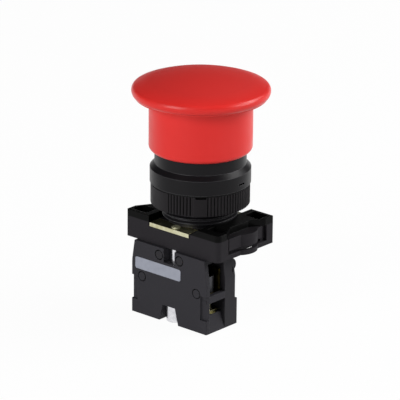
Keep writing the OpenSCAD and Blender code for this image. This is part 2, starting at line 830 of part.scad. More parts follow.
module deck() {
    pocket_x = (deck_in_x + deck_slope + base_x) / 2;
    tray_x = [base_x - tray_rim - tray_l, base_x - tray_rim];
    tray_y = [base_y - tray_rim - tray_w, base_y - tray_rim];
    tray_mid = [(tray_x[0] + tray_x[1]) / 2, (tray_y[0] + tray_y[1]) / 2];
    difference() {
        union() {
            difference() {
                translate([0, 0, base_top_z - touch_gap]) linear_extrude(deck_h + touch_gap) deck_plan();
                span(tray_x, tray_y, [base_top_z, deck_z + over]);
            }
            translate([tray_mid[0], tray_mid[1], base_top_z - touch_gap])
                cylinder(d = tray_seat_d, h = tray_seat_h + touch_gap);
        }
        translate([tray_mid[0], tray_mid[1], base_top_z])
            cylinder(d = tray_hole_d, h = deck_h);
        span([pocket_x - pocket_l / 2, pocket_x + pocket_l / 2],
            [pocket_inset - base_y - pocket_w / 2, pocket_inset - base_y + pocket_w / 2],
            [deck_z - pocket_depth, deck_z + over]);
        span([deck_in_x - over, plate_gap - plate_x[0]], [0, base_y + over], [base_top_z, deck_z + over]);
        rotate([90, 0, 0])
            linear_extrude(base_y + over)
                polygon([
                    [deck_in_x - over, base_top_z],
                    [deck_in_x, base_top_z],
                    [deck_in_x + deck_slope, deck_z],
                    [deck_in_x + deck_slope, deck_z + over],
                    [deck_in_x - over, deck_z + over]
                ]);
    }
}

// The round bulge and the spring arm that runs below it, in plan
module bulge_plan(r) {
    intersection() {
        translate([bulge_x, bulge_y]) circle(r = r);
        translate([base_x - arm_w, bulge_y - bulge_chord]) square([arm_w + bulge_out, 2 * bulge_chord]);
    }
}

module arm_plan() {
    difference() {
        union() {
            translate([base_x - arm_w, -arm_half - over])
                square([arm_w, 2 * arm_half + groove_w + 2 * over]);
            bulge_plan(bulge_r);
        }
        translate([bulge_x, bulge_y]) circle(r = bulge_r - arm_w);
    }
}

// Fine line, shallow recess and deep groove in one side wall
module side_marks() {
    wall_x = [base_x - groove_depth, base_x + bulge_out + over];
    shallow_x = [base_x - line_depth, base_x + bulge_out + over];
    wall_z = [base_low_z - over, base_top_z];
    span(shallow_x, [-arm_half - line_w, -arm_half], wall_z);
    span(shallow_x, [bulge_y + bulge_chord / 2, arm_half], [base_low_z + arm_t + arm_slot, base_top_z]);
    span(wall_x, [arm_half, arm_half + groove_w], wall_z);
}

module mounting_base() {
    seat_r = seat_spigot_r + 2 * touch_gap;
    arm_top_z = base_low_z + arm_t;
    slot_top_z = arm_top_z + arm_slot;
    lug_room_h = spigot_low_z - base_top_z + lug_h + 2 * touch_gap;
    color("#222224") {
        difference() {
            union() {
                translate([0, 0, base_low_z]) linear_extrude(base_h) base_plan();
                deck();
                rotate(180) deck();
                translate([0, 0, slot_top_z]) linear_extrude(base_top_z - slot_top_z) bulge_plan(bulge_r);
            }
            translate([0, 0, base_floor_z])
                cylinder(r = foot_r + foot_room, h = deck_z - base_floor_z + over);
            translate([0, 0, base_top_z]) cylinder(r = seat_r, h = deck_h + over);
            translate([0, 0, base_top_z]) cylinder(r = lug_r + 2 * touch_gap, h = lug_room_h);
            both_bays() {
                span([plate_x[0] - plate_gap, plate_x[1] + plate_gap],
                    [-base_y - over, plate_clear - plate_in_y],
                    [base_top_z - plate_t - touch_gap, base_top_z]);
                translate([0, -fix_y, base_low_z - over]) cylinder(r = fix_bore_r, h = base_h);
                span([-pin_w / 2 - plunger_clear, pin_w / 2 + plunger_clear],
                    [-plunger_y - pin_d / 2 - plunger_clear, pin_d / 2 + plunger_clear - plunger_y],
                    [base_low_z - over, base_floor_z + over]);
                both_sides()
                    translate([locate_spacing / 2, -locate_y, base_low_z - over])
                        cylinder(d = locate_d + 4 * touch_gap, h = locate_h + 2 * touch_gap + over);
            }
            side_marks();
            rotate(180) side_marks();
            span([base_x - arm_w - arm_room, base_x + bulge_out + over], [-arm_half, arm_half],
                [base_low_z - over, slot_top_z]);
        }
        translate([0, 0, base_low_z]) linear_extrude(arm_t) arm_plan();
    }
}

module nut_plate() {
    difference() {
        span(plate_x, [-base_y, -plate_in_y], [base_top_z - plate_t, base_top_z]);
        translate([0, -fix_y, base_top_z - plate_t - over]) cylinder(r = fix_r, h = plate_t + 2 * over);
    }
}

module front_nut_plate() {
    color("#cfcda8") nut_plate();
}

module rear_nut_plate() {
    color("#cfcda8") rotate(180) nut_plate();
}

// A slotted screw with its head down, standing under the point where its thread ends
module slotted_screw(d, head_d, head_h, z) {
    difference() {
        union() {
            translate([0, 0, z[0] - over]) cylinder(d = d, h = z[1] - tip_chamfer - z[0] + over);
            translate([0, 0, z[1] - tip_chamfer])
                cylinder(d1 = d, d2 = d - 2 * tip_chamfer, h = tip_chamfer);
            translate([0, 0, z[0] - head_h]) cylinder(d = head_d, h = head_h);
        }
        span([-head_d, head_d], [-slot_w / 2, slot_w / 2],
            [z[0] - head_h - over, z[0] - head_h + slot_depth]);
    }
}

module fixing_screw() {
    color("#d9d9d4")
        translate([0, -fix_y, 0])
            slotted_screw(fix_d - 2 * thread_clear, fix_head_d, fix_head_h,
                [head_notch_z - touch_gap, base_top_z + fix_tip]);
}

// Front view of the block, drawn in towards its top
module block_face() {
    polygon([
        [-block_x, block_low_z],
        [block_x, block_low_z],
        [block_x, block_top_z - taper_h],
        [block_x - block_taper, block_top_z],
        [block_taper - block_x, block_top_z],
        [-block_x, block_top_z - taper_h]
    ]);
}

module block_slab(y) {
    translate([0, y[1], 0]) rotate([90, 0, 0]) linear_extrude(y[1] - y[0]) block_face();
}

// The room that the plunger, the bridge and the fixed strips need inside the two halves
module contact_room() {
    channel_y = [-plunger_y - plunger_d / 2 - plunger_clear, plunger_d / 2 + plunger_clear - plunger_y];
    pin_y = [-plunger_y - pin_d / 2 - plunger_clear, pin_d / 2 + plunger_clear - plunger_y];
    swing = bridge_l / 2 + bridge_clear;
    swing_y = [-plunger_y - finger_d / 2 - strip_clear, finger_d / 2 + strip_clear - plunger_y];
    span([-plunger_w / 2 - plunger_clear, plunger_w / 2 + plunger_clear], channel_y,
        [block_floor_z, chamber_top_z]);
    span([-pin_w / 2 - plunger_clear, pin_w / 2 + plunger_clear], pin_y,
        [chamber_top_z - over, block_top_z + over]);
    span([-swing, swing], swing_y, [bridge_low_z - travel - floor_spare, strip_top_z + strip_clear]);
}

// One terminal chamber with its side windows, ramp, screw bore and strip passage
module terminal_room() {
    wall_x = [chamber_x[1] - over, block_x + over];
    span(chamber_x, [chamber_y[0], chamber_y[1] + over], [chamber_low_z, chamber_top_z]);
    span(wall_x, [chamber_y[0], chamber_y[1] + over], [window_low_z, chamber_top_z]);
    span(wall_x, [chamber_y[0], chamber_y[1] + over], [entry_low_z, entry_top_z]);
    translate([0, chamber_y[1] + over, 0])
        rotate([90, 0, 0])
            linear_extrude(chamber_y[1] + over - chamber_y[0])
                polygon([
                    [chamber_x[1], entry_low_z],
                    [block_x, entry_low_z - ramp_h],
                    [block_x + over, entry_low_z - ramp_h],
                    [block_x + over, entry_low_z + over],
                    [chamber_x[1], entry_low_z + over]
                ]);
    translate([term_x, -term_y, block_low_z - over])
        cylinder(r = term_bore_r, h = chamber_low_z - block_low_z + 2 * over);
    span([chamber_x[0] - part_wall - over, chamber_x[0] + over],
        [-plunger_y - finger_d / 2 - strip_clear, -block_split + over],
        [strip_low_z - strip_clear, strip_top_z + strip_clear]);
}

// Front view of the notch before the fixing screw's head
module head_notch() {
    polygon([
        [-head_notch_low_w / 2, block_low_z - over],
        [head_notch_low_w / 2, block_low_z - over],
        [head_notch_low_w / 2, block_low_z],
        [head_notch_w / 2, head_notch_z - 2 * touch_gap],
        [-head_notch_w / 2, head_notch_z - 2 * touch_gap],
        [-head_notch_low_w / 2, block_low_z]
    ]);
}

// The marking label, or with a gap the recess for it
module label_plate(gap, proud) {
    mid_x = label_inset - block_x + label_w / 2;
    mid_z = block_top_z - label_drop - label_h / 2;
    translate([mid_x, label_t - block_front, mid_z])
        rotate([90, 0, 0])
            linear_extrude(label_t + proud)
                round_plan(label_w + 2 * gap, label_h + 2 * gap, label_r + gap);
}

module contact_housing() {
    scoop_x = block_x - scoop_w + scoop_depth;
    scoop_low_z = block_low_z + scoop_z;
    mark_r = peg_head_d / 2 + ring_gap;
    color("#2b2b2e") {
        difference() {
            intersection() {
                block_slab([-block_front, -block_split]);
                translate([0, 0, block_low_z - over])
                    linear_extrude(block_h + 2 * over)
                        translate([0, -block_split])
                            round_plan(block_w, 2 * (block_front - block_split), block_edge_r);
            }
            contact_room();
            both_sides() {
                terminal_room();
                translate([peg_spacing / 2, 0, block_top_z - peg_drop]) {
                    rotate([90, 0, 0]) cylinder(d = peg_d + 2 * peg_clear, h = block_front);
                    translate([0, peg_head_h + 2 * touch_gap - block_front, 0])
                        rotate([90, 0, 0]) cylinder(r = mark_r, h = block_front);
                }
                translate([mark_spacing / 2, mark_depth - block_front, block_top_z - mark_drop])
                    rotate([90, 0, 0]) ring(peg_head_d / 2, mark_r, [0, block_front]);
                translate([scoop_x, -block_front, scoop_low_z]) cylinder(r = scoop_depth, h = scoop_h);
                span([scoop_x, block_x + over], [-block_front - over, scoop_depth - block_front],
                    [scoop_low_z, scoop_low_z + scoop_h]);
            }
            translate([0, -fix_y, block_low_z - over]) cylinder(r = fix_bore_r, h = block_h + 2 * over);
            span([-screw_slot_w / 2, screw_slot_w / 2], [-block_front - over, -fix_y],
                [block_top_z - screw_slot_h, block_top_z + over]);
            translate([0, -fix_y, block_low_z - over])
                cylinder(r = fix_head_d / 2 + head_room, h = head_notch_h + over);
            translate([0, -fix_y, 0])
                rotate([90, 0, 0]) linear_extrude(block_front - fix_y + over) head_notch();
            label_plate(touch_gap, over);
        }
        both_sides() {
            translate([locate_spacing / 2, -locate_y, block_top_z - over])
                cylinder(d = locate_d, h = locate_h + over);
            span([chamber_x[0] - part_wall / 2, block_x - side_wall / 2],
                [chamber_y[0] - front_wall / 2, chamber_y[0] + ledge_d],
                [strip_low_z - ledge_h, strip_low_z]);
        }
    }
}

module contact_cover() {
    catch_x = block_x - block_taper - catch_w;
    catch_y = catch_out - catch_r - block_back;
    relief_z = block_top_z - peg_drop;
    peg_end = block_front - touch_gap;
    color("#262629") {
        difference() {
            union() {
                block_slab([-block_split, -block_back]);
                intersection() {
                    block_slab([-block_split, back_step - block_back]);
                    span([-block_w, block_w], [-block_split, back_step - block_back + over],
                        [block_low_z - over, block_low_z + back_step_h]);
                }
                both_sides() {
                    translate([peg_spacing / 2, 0, block_top_z - peg_drop]) {
                        translate([0, over - block_split, 0])
                            rotate([90, 0, 0]) cylinder(d = peg_d, h = peg_end - block_split);
                        translate([0, peg_head_h - peg_end, 0])
                            rotate([90, 0, 0]) cylinder(d = peg_head_d, h = peg_head_h);
                    }
                    intersection() {
                        block_slab([-block_split, catch_out - block_back + over]);
                        translate([catch_x, catch_y, block_top_z - catch_drop])
                            rotate([0, 90, 0]) cylinder(r = catch_r, h = block_w);
                    }
                }
            }
            contact_room();
            both_sides()
                translate([block_x - relief_depth, 0, 0])
                    rotate([90, 0, 90])
                        linear_extrude(relief_depth + over)
                            polygon([
                                [-block_back - relief_in - relief_w, relief_z],
                                [-block_back - relief_in, relief_z],
                                [-block_back - relief_in, relief_z - relief_h]
                            ]);
        }
    }
}

module marking_label() {
    color("#c9ccd6")
        label_plate(0, 0);
}

module contact_plunger() {
    slot_z = [bridge_low_z, bridge_top_z + bridge_clear];
    color("#e4e0d2")
        translate([0, -plunger_y, 0])
            difference() {
                union() {
                    span([-pin_w / 2, pin_w / 2], [-pin_d / 2, pin_d / 2],
                        [plunger_top_z - over, foot_z - touch_gap]);
                    span([-plunger_w / 2, plunger_w / 2], [-plunger_d / 2, plunger_d / 2],
                        [plunger_low_z, plunger_top_z]);
                }
                span([-plunger_w, plunger_w], [-bridge_d / 2 - bridge_clear, bridge_d / 2 + bridge_clear],
                    slot_z);
                translate([0, 0, plunger_low_z - over])
                    cylinder(d = cspring_d + cspring_wire + 4 * touch_gap, h = spring_pocket + over);
            }
}

module contact_spring() {
    color("silver")
        translate([0, -plunger_y, 0])
            coil(cspring_d, cspring_wire, cspring_coils, [block_floor_z, pocket_top_z]);
}

module bridge_contact() {
    color("#c09a52")
        translate([0, -plunger_y, 0])
            span([-bridge_l / 2, bridge_l / 2], [-bridge_d / 2, bridge_d / 2], [bridge_low_z, bridge_top_z]);
}

// A pair of contact tips standing on the given height
module tip_pair(z) {
    both_sides()
        translate([tip_spacing / 2, -plunger_y, z]) cylinder(d = tip_d, h = tip_t);
}

module bridge_tips() {
    color("#dcdcde") tip_pair(bridge_top_z);
}

module fixed_tips() {
    color("#dcdcde") tip_pair(tip_z);
}

// A bent-free brass strip: terminal plate outside, contact finger inside
module fixed_contact() {
    end_x = chamber_x[1] - strip_clear;
    inner_x = chamber_x[0] + strip_clear;
    front_y = chamber_y[0] + ledge_d - strip_clear;
    back_y = -block_split - strip_clear;
    finger_y = [-plunger_y - finger_d / 2, finger_d / 2 - plunger_y];
    finger_x = [finger_spacing / 2, bridge_l / 2];
    difference() {
        union() {
            translate([0, 0, strip_low_z])
                linear_extrude(strip_t)
                    polygon([
                        [finger_x[0], finger_y[0]],
                        [inner_x, finger_y[0]],
                        [inner_x, front_y],
                        [end_x, front_y],
                        [end_x, back_y],
                        [finger_x[1], back_y],
                        [finger_x[1], finger_y[1]],
                        [finger_x[0], finger_y[1]]
                    ]);
            translate([term_x, -term_y, strip_low_z]) cylinder(d = bush_d, h = strip_t + bush_h);
            span([end_x - tongue_w, end_x], [back_y - tongue_t, back_y],
                [strip_low_z, strip_top_z + tongue_h]);
        }
        translate([term_x, -term_y, strip_low_z - over])
            cylinder(d = term_d, h = strip_t + bush_h + 2 * over);
    }
}

module fixed_contact_right() {
    color("#c09a52") fixed_contact();
}

module fixed_contact_left() {
    color("#c09a52") mirror([1, 0, 0]) fixed_contact();
}

clamp_z = [entry_low_z - strip_clear / 2, entry_low_z - strip_clear / 2 + clamp_t];

module terminal_screws() {
    color("#cfcda8")
        both_sides()
            translate([term_x, -term_y, 0])
                slotted_screw(term_d - 2 * thread_clear, term_head_d, term_head_h,
                    [clamp_z[0], strip_top_z + bush_h - bush_spare]);
}

module clamp_plates() {
    color("#cfcda8")
        both_sides()
            difference() {
                span([chamber_x[0] + strip_clear, chamber_x[1] - clamp_in],
                    [chamber_y[0] + strip_clear, -block_split - strip_clear], clamp_z);
                translate([term_x, -term_y, clamp_z[0] - over])
                    cylinder(d = term_d, h = clamp_t + 2 * over);
            }
}

mushroom_cap();
plunger_stem();
stem_seal();
return_spring();
operator_body();
panel_gasket();
nut_washer();
clamp_nut();
mounting_base();
front_nut_plate();
rear_nut_plate();
fixing_screw();
contact_housing();
contact_cover();
marking_label();
contact_plunger();
contact_spring();
bridge_contact();
bridge_tips();
fixed_contact_left();
fixed_contact_right();
fixed_tips();
terminal_screws();
clamp_plates();
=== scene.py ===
"""Looks of a mushroom-head stop button with one contact block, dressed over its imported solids."""

import json
import math

import bmesh
import bpy
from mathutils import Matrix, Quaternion, Vector


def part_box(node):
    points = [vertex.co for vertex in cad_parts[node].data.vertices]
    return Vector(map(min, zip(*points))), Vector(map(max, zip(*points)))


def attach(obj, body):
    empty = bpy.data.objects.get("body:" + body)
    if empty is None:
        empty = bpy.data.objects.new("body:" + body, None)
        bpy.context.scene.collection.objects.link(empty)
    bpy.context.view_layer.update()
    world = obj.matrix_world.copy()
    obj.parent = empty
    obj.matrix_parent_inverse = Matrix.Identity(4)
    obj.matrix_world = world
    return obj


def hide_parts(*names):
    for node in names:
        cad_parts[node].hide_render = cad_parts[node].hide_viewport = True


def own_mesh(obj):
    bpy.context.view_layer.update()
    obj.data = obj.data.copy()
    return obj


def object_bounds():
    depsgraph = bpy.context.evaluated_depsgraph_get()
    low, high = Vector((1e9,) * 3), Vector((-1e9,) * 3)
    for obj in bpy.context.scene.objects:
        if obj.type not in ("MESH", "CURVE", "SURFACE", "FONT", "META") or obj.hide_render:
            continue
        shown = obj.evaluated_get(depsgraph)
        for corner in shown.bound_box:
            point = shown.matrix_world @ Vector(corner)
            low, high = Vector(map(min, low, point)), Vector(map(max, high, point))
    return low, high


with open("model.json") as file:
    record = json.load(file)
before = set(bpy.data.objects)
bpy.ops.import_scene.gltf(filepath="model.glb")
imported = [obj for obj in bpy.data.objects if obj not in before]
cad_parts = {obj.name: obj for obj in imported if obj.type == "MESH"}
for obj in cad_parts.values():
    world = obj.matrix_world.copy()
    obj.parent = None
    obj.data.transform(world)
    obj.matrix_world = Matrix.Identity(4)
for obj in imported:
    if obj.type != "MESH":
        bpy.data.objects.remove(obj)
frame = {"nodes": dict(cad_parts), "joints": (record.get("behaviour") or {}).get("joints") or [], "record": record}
cad_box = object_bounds()
scene = bpy.context.scene
scene.view_settings.view_transform = "Standard"

# Sizes and places are in millimetres, up to the point where Blender takes them in metres.
MM = 0.001
X, Y, Z = range(3)

behaviour = frame["record"]["behaviour"]
body_of = {node: body for body, nodes in behaviour["bodies"].items() for node in nodes}
slot_of = {row["node"]: row["material_slot"] for row in frame["record"]["subparts"]}
joint_of = {joint["name"]: joint for joint in frame["joints"]}


def corners(node):
    """A CAD node's lowest and highest corners at rest, to a tenth of a micrometre."""
    return [[round(side / MM, 4) for side in corner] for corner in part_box(node)]


# Places that the solids give.
bezel_radius = corners("operator_body")[1][X]
nut_low, nut_high = corners("clamp_nut")
nut_middle = (nut_low[Z] + nut_high[Z]) / 2
plate_top = corners("front_nut_plate")[1][Z]
fixing_low, fixing_high = corners("fixing_screw")
fixing_y = (fixing_low[Y] + fixing_high[Y]) / 2
terminal_low, terminal_high = corners("terminal_screws")
terminal_head_radius = (terminal_high[Y] - terminal_low[Y]) / 2
terminal_x = terminal_high[X] - terminal_head_radius
terminal_y = terminal_high[Y] - terminal_head_radius
nut_turns = joint_of["nut_turn"]["range_deg"][1] / 360
nut_pitch = joint_of["nut_travel"]["range_m"][1] / MM / nut_turns


def linear(hex_colour):
    """An sRGB hex colour as the linear RGBA that shader sockets take."""
    parts = [int(hex_colour[i:i + 2], 16) / 255 for i in (1, 3, 5)]
    return tuple(p / 12.92 if p <= 0.04045 else ((p + 0.055) / 1.055) ** 2.4 for p in parts) + (1.0,)


def add(tree, kind, settings=None, links=None):
    """Adds one node. Settings name its properties or input sockets, links its inputs and what they take."""
    made = tree.nodes.new(kind)
    for name, value in (settings or {}).items():
        if isinstance(name, str) and hasattr(made, name):
            setattr(made, name, value)
        else:
            made.inputs[name].default_value = value
    for name, source in (links or {}).items():
        tree.links.new(source, made.inputs[name])
    return made


def empty_material(name):
    """A new material and its node tree, with no nodes in it yet."""
    made = bpy.data.materials.new(name)
    made.use_nodes = True
    made.node_tree.nodes.clear()
    return made, made.node_tree


def millimetres(tree):
    """Places on the object in millimetres, so that a texture scale of 1 is one cell per millimetre."""
    place = add(tree, "ShaderNodeTexCoord")
    scaled = add(tree, "ShaderNodeMapping", {"Scale": (1 / MM, 1 / MM, 1 / MM)},
                 {"Vector": place.outputs["Object"]})
    return scaled.outputs[0]


# Sizes of the patterns. The grain of a spark-eroded tool, rolling lines and the pores of rubber are a few
# hundredths of a millimetre in truth, and are drawn several times as coarse, so that they show.
SINK_MARK = 6.25
ROLLING_LINE = 0.625
PLATING_CLOUD = 1.4
RUBBER_PORE = 0.16
TALC_PATCH = 1.25

# Radii of the softened corners, and how far a plastic's grain shifts its colour and its sink marks its gloss.
PLASTIC_CORNER = 0.22
METAL_CORNER = 0.12
CORNER_SAMPLES = 6
GRAIN_TINT = 0.03
GLOSS_SPREAD = 0.06


def change_above(tree, place, tint, gloss, start, full, colour, rough):
    """Blends a tint and a gloss into another finish from one height to a higher one."""
    axes = add(tree, "ShaderNodeSeparateXYZ", None, {0: place})
    above = add(tree, "ShaderNodeMapRange", {"From Min": start, "From Max": full},
                {"Value": axes.outputs["Z"]}).outputs[0]
    new_tint = add(tree, "ShaderNodeMix", {"data_type": "RGBA", 7: linear(colour)}, {0: above, 6: tint})
    new_gloss = add(tree, "ShaderNodeMix", {3: rough}, {0: above, 2: gloss})
    return new_tint.outputs[2], new_gloss.outputs[0]


def paint_slot_shade(tree, place, tint, gloss, mouth, deep, height, reach, colour):
    """Paints shade into what is cut into a round side: blackens it from its mouth's radius inwards, within reach
    of a height.
    """
    axes = add(tree, "ShaderNodeSeparateXYZ", None, {0: place})
    plan = add(tree, "ShaderNodeCombineXYZ", None, {"X": axes.outputs["X"], "Y": axes.outputs["Y"]})
    out = add(tree, "ShaderNodeVectorMath", {"operation": "LENGTH"}, {0: plan.outputs[0]})
    inside = add(tree, "ShaderNodeMapRange", {"From Min": mouth, "From Max": deep},
                 {"Value": out.outputs["Value"]})
    level = add(tree, "ShaderNodeMath", {"operation": "COMPARE", 1: height, 2: reach},
                {0: axes.outputs["Z"]})
    mask = add(tree, "ShaderNodeMath", {"operation": "MULTIPLY"},
               {0: inside.outputs[0], 1: level.outputs[0]}).outputs[0]
    new_tint = add(tree, "ShaderNodeMix", {"data_type": "RGBA", 7: linear(colour)}, {0: mask, 6: tint})
    new_gloss = add(tree, "ShaderNodeMath", {"operation": "MAXIMUM"}, {0: gloss, 1: mask})
    return new_tint.outputs[2], new_gloss.outputs[0]


def blacken_bushes(tree, place, tint, radius, above, colour):
    """Gives the bushes round both terminal screws their oxide-black steel, above the brass strip."""
    plan = add(tree, "ShaderNodeMapping", {"Scale": (1, 1, 0)}, {"Vector": place})
    folded = add(tree, "ShaderNodeVectorMath", {"operation": "ABSOLUTE"}, {0: plan.outputs[0]})
    out = add(tree, "ShaderNodeVectorMath", {"operation": "DISTANCE", 1: (terminal_x, -terminal_y, 0)},
              {0: folded.outputs[0]})
    near = add(tree, "ShaderNodeMath", {"operation": "LESS_THAN", 1: radius}, {0: out.outputs["Value"]})
    axes = add(tree, "ShaderNodeSeparateXYZ", None, {0: place})
    high = add(tree, "ShaderNodeMath", {"operation": "GREATER_THAN", 1: above}, {0: axes.outputs["Z"]})
    mask = add(tree, "ShaderNodeMath", {"operation": "MULTIPLY"}, {0: near.outputs[0], 1: high.outputs[0]})
    return add(tree, "ShaderNodeMix", {"data_type": "RGBA", 7: linear(colour)},
               {0: mask.outputs[0], 6: tint}).outputs[2]


# Injection-moulded plastic: a fine spark-eroded grain from the tool, slow sink marks that bend the gloss, and
# edges that the corner radius and handling wear leave a little lighter; on the bezel and nut that lighter colour
# is painted highlight. Higher up the finish may change, as where the tool was polished or textured; on the head
# the darker red up there is painted shade. Slots and grooves are blackened with painted shade, as they hold no
# light.
def moulded_plastic(name, colour, edge_wear_and_highlight, rough, grain, relief, specular, upper=None, slot=None):
    made, tree = empty_material(name)
    place = millimetres(tree)
    fine = add(tree, "ShaderNodeTexNoise", {"Scale": 1 / grain, "Detail": 3.0, "Roughness": 0.6},
               {"Vector": place})
    slow = add(tree, "ShaderNodeTexNoise", {"Scale": 1 / SINK_MARK, "Detail": 2.0}, {"Vector": place})
    round_edge = add(tree, "ShaderNodeBevel", {"samples": CORNER_SAMPLES, "Radius": PLASTIC_CORNER * MM})
    flat = add(tree, "ShaderNodeNewGeometry")
    turned = add(tree, "ShaderNodeVectorMath", {"operation": "DOT_PRODUCT"},
                 {0: round_edge.outputs[0], 1: flat.outputs["Normal"]})
    edge_mask = add(tree, "ShaderNodeMapRange", {"From Min": 0.995, "From Max": 0.85, "To Max": 0.75},
                    {"Value": turned.outputs["Value"]})
    # Lighter edges: handling wear, and on the bezel and nut painted highlight.
    wear_and_highlight = add(tree, "ShaderNodeMath", {"operation": "MULTIPLY"},
               {0: edge_mask.outputs[0], 1: slow.outputs[0]})
    shade = add(tree, "ShaderNodeMapRange", {"To Min": -GRAIN_TINT, "To Max": GRAIN_TINT},
                {"Value": fine.outputs[0]})
    mixed = add(tree, "ShaderNodeMath", {"operation": "ADD", "use_clamp": True},
                {0: wear_and_highlight.outputs[0], 1: shade.outputs[0]})
    tint = add(tree, "ShaderNodeMix", {"data_type": "RGBA", 6: linear(colour), 7: linear(edge_wear_and_highlight)},
               {0: mixed.outputs[0]}).outputs[2]
    gloss = add(tree, "ShaderNodeMapRange",
                {"From Min": 0.3, "From Max": 0.7,
                 "To Min": rough - GLOSS_SPREAD, "To Max": rough + GLOSS_SPREAD},
                {"Value": slow.outputs[0]}).outputs[0]
    if upper:
        tint, gloss = change_above(tree, place, tint, gloss, **upper)
    if slot:
        tint, gloss = paint_slot_shade(tree, place, tint, gloss, **slot)
    bump = add(tree, "ShaderNodeBump", {"Strength": 0.5, "Distance": relief * MM},
               {"Height": fine.outputs[0], "Normal": round_edge.outputs[0]})
    shader = add(tree, "ShaderNodeBsdfPrincipled", {"IOR": 1.5, "Specular IOR Level": specular},
                 {"Base Color": tint, "Roughness": gloss, "Normal": bump.outputs[0]})
    add(tree, "ShaderNodeOutputMaterial", None, {"Surface": shader.outputs[0]})
    return made


# Plated and rolled metal: a slight cast in the plating, lines from rolling or drawing that are finer along
# one axis than along the others, and scuffs in the gloss. A screw's sheared tip is dull and yellowed.
def plated_metal(name, colour, stain, rough, lines=(1, 1, 12), scuff=0.12, bushes=None, tip=None):
    made, tree = empty_material(name)
    place = millimetres(tree)
    drawn = add(tree, "ShaderNodeMapping", {"Scale": lines}, {"Vector": place})
    streak = add(tree, "ShaderNodeTexNoise", {"Scale": 1 / ROLLING_LINE, "Detail": 4.0, "Roughness": 0.7},
                 {"Vector": drawn.outputs[0]})
    cloud = add(tree, "ShaderNodeTexNoise", {"Scale": 1 / PLATING_CLOUD, "Detail": 2.0}, {"Vector": place})
    patch = add(tree, "ShaderNodeMapRange", {"From Min": 0.35, "From Max": 0.7}, {"Value": cloud.outputs[0]})
    tint = add(tree, "ShaderNodeMix", {"data_type": "RGBA", 6: linear(colour), 7: linear(stain)},
               {0: patch.outputs[0]}).outputs[2]
    gloss = add(tree, "ShaderNodeMapRange",
                {"From Min": 0.3, "From Max": 0.7, "To Min": rough - scuff / 2, "To Max": rough + scuff},
                {"Value": streak.outputs[0]}).outputs[0]
    if bushes:
        tint = blacken_bushes(tree, place, tint, **bushes)
    if tip:
        tint, gloss = change_above(tree, place, tint, gloss, **tip)
    round_edge = add(tree, "ShaderNodeBevel", {"samples": CORNER_SAMPLES, "Radius": METAL_CORNER * MM})
    bump = add(tree, "ShaderNodeBump", {"Strength": 0.25, "Distance": 0.02 * MM},
               {"Height": streak.outputs[0], "Normal": round_edge.outputs[0]})
    shader = add(tree, "ShaderNodeBsdfPrincipled", {"Metallic": 1.0},
                 {"Base Color": tint, "Roughness": gloss, "Normal": bump.outputs[0]})
    add(tree, "ShaderNodeOutputMaterial", None, {"Surface": shader.outputs[0]})
    return made


# Pressed rubber: dull, with a bloom of talc that greys it in patches.
def pressed_rubber(name, colour, bloom):
    made, tree = empty_material(name)
    place = millimetres(tree)
    fine = add(tree, "ShaderNodeTexNoise", {"Scale": 1 / RUBBER_PORE, "Detail": 3.0}, {"Vector": place})
    dust = add(tree, "ShaderNodeTexNoise", {"Scale": 1 / TALC_PATCH, "Detail": 4.0}, {"Vector": place})
    patch = add(tree, "ShaderNodeMapRange", {"From Min": 0.45, "From Max": 0.75}, {"Value": dust.outputs[0]})
    tint = add(tree, "ShaderNodeMix", {"data_type": "RGBA", 6: linear(colour), 7: linear(bloom)},
               {0: patch.outputs[0]})
    bump = add(tree, "ShaderNodeBump", {"Strength": 0.4, "Distance": 0.03 * MM}, {"Height": fine.outputs[0]})
    shader = add(tree, "ShaderNodeBsdfPrincipled",
                 {"Roughness": 0.75, "IOR": 1.52, "Specular IOR Level": 0.35},
                 {"Base Color": tint.outputs[2], "Normal": bump.outputs[0]})
    add(tree, "ShaderNodeOutputMaterial", None, {"Surface": shader.outputs[0]})
    return made


